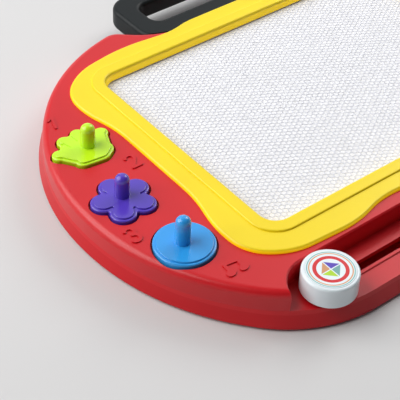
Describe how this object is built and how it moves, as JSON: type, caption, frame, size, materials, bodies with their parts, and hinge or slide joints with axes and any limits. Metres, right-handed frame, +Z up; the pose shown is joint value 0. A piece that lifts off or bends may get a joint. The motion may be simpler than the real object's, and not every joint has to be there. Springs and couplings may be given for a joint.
{
  "type": "magnetic drawing board",
  "caption": "Child's magnetic drawing board with a framed screen, a sliding eraser knob, lift-out stamps with pegs, a magnet pen in a tray and a carry handle.",
  "frame": {"origin": "Underside of the middle rubber foot, on the surface that the board rests on, at the middle of the casing's footprint.", "axes": "+Z up out of the drawing screen, +Y to the carry handle at the back, +X along the eraser's ledge, to the right of a child facing the screen."},
  "size_m": [0.4384, 0.3378, 0.0507],
  "materials": {
    "red_plastic": "moulded, slightly glossy",
    "red_cover_plastic": "moulded, fine texture",
    "yellow_plastic": "moulded, slightly glossy",
    "gasket_rubber": "soft, matt",
    "screen_film": "clear film over white fluid",
    "screen_core": "white fluid in clear honeycomb cells",
    "inner_plastic": "moulded, plain",
    "steel": "zinc plated",
    "black_plastic": "moulded, fine texture",
    "foot_rubber": "soft, matt",
    "white_plastic": "moulded, glossy",
    "label_film": "printed rings, satin",
    "magnet": "flexible magnet, matt",
    "lime_plastic": "moulded, glossy",
    "purple_plastic": "moulded, glossy",
    "blue_plastic": "moulded, glossy"
  },
  "bodies": {
    "board": {"top_casing": "red_plastic", "bottom_cover": "red_cover_plastic", "screen_frame": "yellow_plastic", "screen_gasket": "gasket_rubber", "screen_front_sheet": "screen_film", "honeycomb_core": "screen_core", "screen_back_sheet": "screen_film", "panel_retainer": "inner_plastic", "retainer_screws": "steel", "front_rail": "inner_plastic", "back_rail": "inner_plastic", "handle_lower": "black_plastic", "handle_upper": "black_plastic", "handle_screws": "steel", "casing_screws": "steel", "rubber_feet": "foot_rubber"},
    "eraser": {"eraser_knob": "white_plastic", "knob_label": "label_film", "knob_screw": "steel", "eraser_carriage": "inner_plastic", "eraser_beam": "inner_plastic", "beam_screw": "steel", "eraser_magnet": "magnet"},
    "disc_stamp": {"disc_stamp": "blue_plastic", "disc_magnet": "magnet"},
    "flower_stamp": {"flower_stamp": "purple_plastic", "flower_magnet": "magnet"},
    "hand_stamp": {"hand_stamp": "lime_plastic", "hand_magnet": "magnet"},
    "pen": {"pen_barrel": "blue_plastic", "pen_nose": "yellow_plastic", "pen_magnet": "steel", "pen_cap": "yellow_plastic"}
  },
  "joints": [
    {"name": "eraser_slide", "type": "slide", "parent": "board", "child": "eraser", "axis": [1, 0, 0], "range_m": [-0.0055, 0.2575]},
    {"name": "disc_stamp_lift", "type": "slide", "parent": "board", "child": "disc_stamp", "axis": [0, 0, 1], "range_m": [0, 0.05]},
    {"name": "flower_stamp_lift", "type": "slide", "parent": "board", "child": "flower_stamp", "axis": [0, 0, 1], "range_m": [0, 0.05]},
    {"name": "hand_stamp_lift", "type": "slide", "parent": "board", "child": "hand_stamp", "axis": [0, 0, 1], "range_m": [0, 0.05]},
    {"name": "pen_lift", "type": "slide", "parent": "board", "child": "pen", "axis": [0, 0, 1], "range_m": [0, 0.05]}
  ]
}
